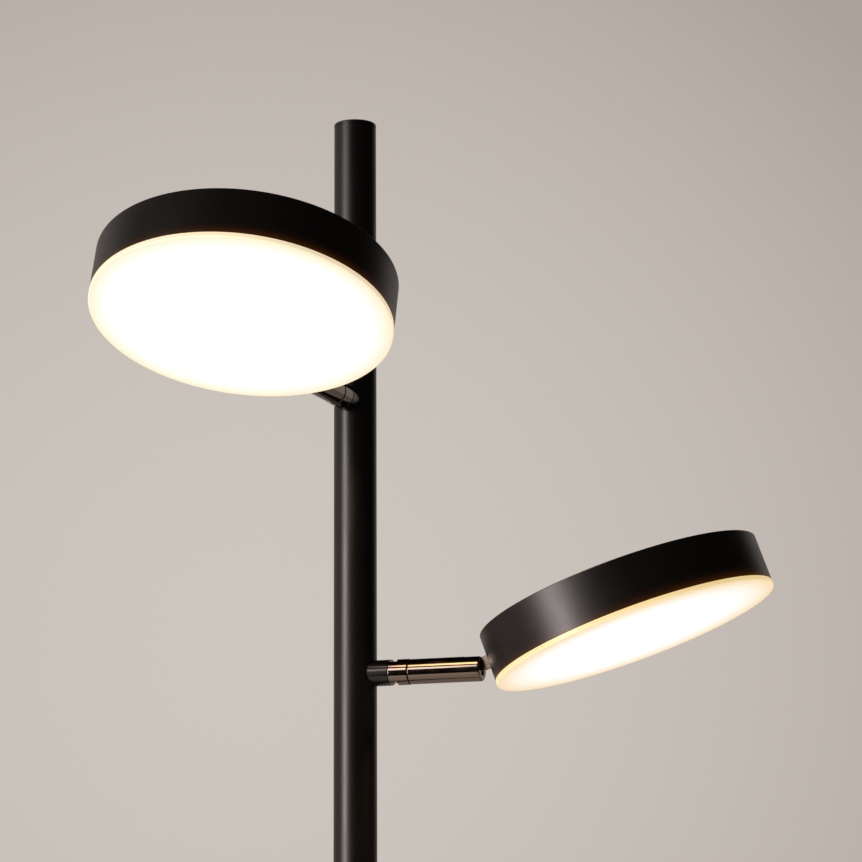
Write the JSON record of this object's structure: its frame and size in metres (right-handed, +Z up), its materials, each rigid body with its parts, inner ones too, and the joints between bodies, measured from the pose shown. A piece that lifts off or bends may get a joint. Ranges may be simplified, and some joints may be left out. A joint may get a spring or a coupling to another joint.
{
  "type": "twin-head floor lamp",
  "caption": "Free-standing floor lamp: a round weighted base, a slim black pole and disc lamp heads on short arms that swivel and tilt.",
  "frame": {"origin": "on the floor under the pole's axis, at the centre of the base's underside", "axes": "+Z up along the pole; +X along the lower arm, away from the pole; -Y along the upper arm"},
  "size_m": [0.3777, 0.3759, 1.5],
  "materials": {
    "satin_black_paint": "satin",
    "black_coated_aluminium": "satin",
    "black_nickel": "polished",
    "raw_cast_iron": "matte",
    "zinc_plated_steel": "satin",
    "pad_foam": "matte",
    "black_nylon": "satin",
    "white_plastic_case": "satin",
    "washer_plastic": "matte",
    "lead_insulation": "satin",
    "white_board": "matte",
    "led_phosphor": "satin",
    "white_reflector": "satin",
    "opal_acrylic": "satin"
  },
  "bodies": {
    "root": {"floor_pad": "pad_foam", "bottom_plate": "zinc_plated_steel", "bottom_plate_screws": "zinc_plated_steel", "base_weight": "raw_cast_iron", "base_cover": "satin_black_paint", "cable_gland": "black_nylon", "led_driver": "white_plastic_case", "terminal_block": "white_plastic_case", "foot_switch_body": "black_nylon", "foot_switch_bezel": "black_nickel", "foot_switch_spring": "zinc_plated_steel", "foot_switch_lead": "lead_insulation", "pole_stud": "zinc_plated_steel", "stud_nut": "zinc_plated_steel", "pole_foot_insert": "zinc_plated_steel", "pole_foot_ring": "satin_black_paint", "pole_lower": "satin_black_paint", "pole_middle": "satin_black_paint", "pole_upper": "satin_black_paint", "pole_couplers": "zinc_plated_steel", "pole_end_cap": "satin_black_paint", "arm_anchors": "zinc_plated_steel", "swivel_studs": "zinc_plated_steel", "swivel_washers": "washer_plastic", "stop_pins": "zinc_plated_steel", "lower_pole_lead": "lead_insulation", "lower_arm_collar": "satin_black_paint", "lower_swivel_ring": "black_nickel", "upper_pole_lead": "lead_insulation", "upper_arm_collar": "satin_black_paint", "upper_swivel_ring": "black_nickel"},
    "switch_button": {"foot_switch_button": "black_nylon"},
    "lower_arm": {"lower_arm_sleeve": "black_nickel", "lower_retaining_screw": "zinc_plated_steel", "lower_pivot_screw": "black_nickel", "lower_tilt_washers": "washer_plastic", "lower_sleeve_lead": "lead_insulation"},
    "lower_head": {"lower_neck": "black_nickel", "lower_neck_nut": "zinc_plated_steel", "lower_head_shell": "black_coated_aluminium", "lower_led_board": "white_board", "lower_led_chips": "led_phosphor", "lower_board_screws": "zinc_plated_steel", "lower_reflector": "white_reflector", "lower_diffuser": "opal_acrylic", "lower_head_lead": "lead_insulation"},
    "upper_arm": {"upper_arm_sleeve": "black_nickel", "upper_retaining_screw": "zinc_plated_steel", "upper_pivot_screw": "black_nickel", "upper_tilt_washers": "washer_plastic", "upper_sleeve_lead": "lead_insulation"},
    "upper_head": {"upper_neck": "black_nickel", "upper_neck_nut": "zinc_plated_steel", "upper_head_shell": "black_coated_aluminium", "upper_led_board": "white_board", "upper_led_chips": "led_phosphor", "upper_board_screws": "zinc_plated_steel", "upper_reflector": "white_reflector", "upper_diffuser": "opal_acrylic", "upper_head_lead": "lead_insulation"}
  },
  "joints": [
    {"name": "lower_swivel", "type": "hinge", "parent": "root", "child": "lower_arm", "pos_m": [0.0344, 0, 1.17], "axis": [1, 0, 0], "range_deg": [-167.4, 162.6]},
    {"name": "lower_tilt", "type": "hinge", "parent": "lower_arm", "child": "lower_head", "pos_m": [0.0705, 0, 1.17], "axis": [0, -0.9991, -0.0419], "range_deg": [-19.2, 70.8]},
    {"name": "upper_swivel", "type": "hinge", "parent": "root", "child": "upper_arm", "pos_m": [0, -0.0344, 1.33], "axis": [0, -1, 0], "range_deg": [-165.8, 164.2]},
    {"name": "upper_tilt", "type": "hinge", "parent": "upper_arm", "child": "upper_head", "pos_m": [0, -0.0705, 1.33], "axis": [-0.9999, 0, -0.014], "range_deg": [-18.3, 71.7]},
    {"name": "switch_press", "type": "slide", "parent": "root", "child": "switch_button", "axis": [0, 0, -1], "range_m": [0, 0.0025], "stiffness_N_per_m": 600, "springref_m": -0.003, "deforming": ["foot_switch_spring"]}
  ]
}
